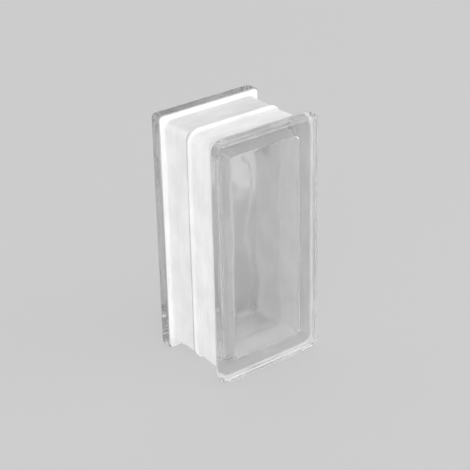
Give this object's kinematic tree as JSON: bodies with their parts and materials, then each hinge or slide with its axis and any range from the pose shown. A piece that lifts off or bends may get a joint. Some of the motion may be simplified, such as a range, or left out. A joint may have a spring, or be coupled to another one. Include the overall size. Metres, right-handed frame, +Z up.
{
  "type": "glass block",
  "caption": "Hollow half-size glass block with two clear panes that are wavy inside, a fused seam and a white coated mortar channel around its edge, for walls that let light through.",
  "frame": {"origin": "middle of the footprint, on the level floor the block stands on", "axes": "+Z up along the block's height, +Y from the front pane to the rear pane, +X along the width"},
  "size_m": [0.09, 0.08, 0.19],
  "materials": {
    "clear_glass": "clear polished pressed glass, wavy on the inner side of the panes",
    "white_coating": "matte white edge coating"
  },
  "bodies": {
    "root": {"front_half": "clear_glass", "rear_half": "clear_glass", "edge_coating": "white_coating"}
  },
  "joints": []
}
